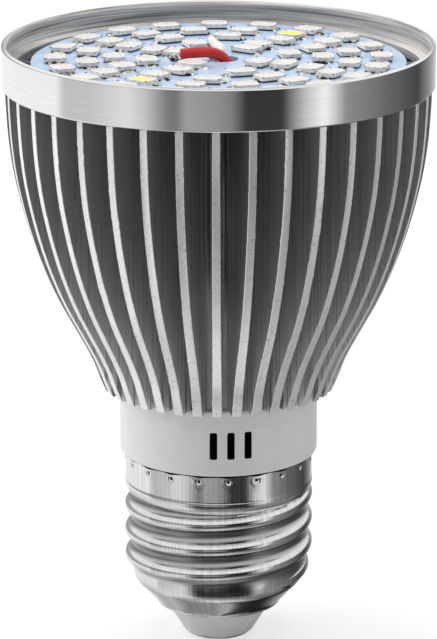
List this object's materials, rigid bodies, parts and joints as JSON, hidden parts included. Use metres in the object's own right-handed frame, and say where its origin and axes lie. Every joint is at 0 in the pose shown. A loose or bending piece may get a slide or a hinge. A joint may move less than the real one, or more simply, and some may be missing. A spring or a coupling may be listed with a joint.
{
  "type": "grow light bulb",
  "caption": "Lamp bulb for growing plants: finned aluminium bell with a flat face of small light emitters in a turned rim, white neck with vent slots, and a screw base.",
  "frame": {"origin": "lowest point of the centre contact, on the axis of the bulb", "axes": "+Z runs from the screw base up to the light face; -Y is the side with the vent slots that the picture shows; +X is its right"},
  "size_m": [0.059, 0.059, 0.085],
  "materials": {
    "sink_aluminium": "extruded fins, outline turned to the bell shape, left bare",
    "ring_aluminium": "turned and polished, fine marks round the ring",
    "board_lacquer": "aluminium core board with pale blue lacquer",
    "pad_silicone": "soft grey heat conducting pad",
    "led_housing": "white moulded package",
    "led_silicone": "clear silicone filling",
    "led_phosphor": "yellow phosphor filling",
    "solder": "bright tin solder",
    "red_insulation": "red insulated lead",
    "white_insulation": "white insulated lead",
    "blue_insulation": "blue insulated lead",
    "neck_plastic": "moulded white plastic, soft shine",
    "shell_nickel": "nickel plated, rolled thread",
    "base_plastic": "light grey moulded insulator",
    "contact_metal": "plated brass",
    "driver_laminate": "resin bonded laminate",
    "ferrite": "dark sintered ferrite",
    "winding_copper": "enamelled copper winding",
    "film_case": "yellow capacitor box",
    "can_sleeve": "dark sleeve on an aluminium can",
    "component_black": "black moulded component",
    "resistor_coat": "grey green coated resistor"
  },
  "bodies": {
    "root": {"heat_sink": "sink_aluminium", "rim_ring": "ring_aluminium", "thermal_pad": "pad_silicone", "led_board": "board_lacquer", "led_frames": "led_housing", "led_windows_clear": "led_silicone", "led_windows_warm": "led_phosphor", "led_solder": "solder", "red_lead": "red_insulation", "white_lead": "white_insulation", "solder_red": "solder", "solder_white": "solder", "neck_housing": "neck_plastic", "screw_shell": "shell_nickel", "base_insulator": "base_plastic", "centre_contact": "contact_metal", "driver_board": "driver_laminate", "transformer_core": "ferrite", "transformer_winding": "winding_copper", "film_capacitor": "film_case", "bulk_capacitor": "can_sleeve", "output_capacitor": "can_sleeve", "bridge_rectifier": "component_black", "controller_chip": "component_black", "freewheel_diode": "component_black", "fusible_resistor": "resistor_coat", "live_lead": "red_insulation", "neutral_lead": "blue_insulation", "live_joint": "solder", "neutral_joint": "solder"}
  },
  "joints": []
}
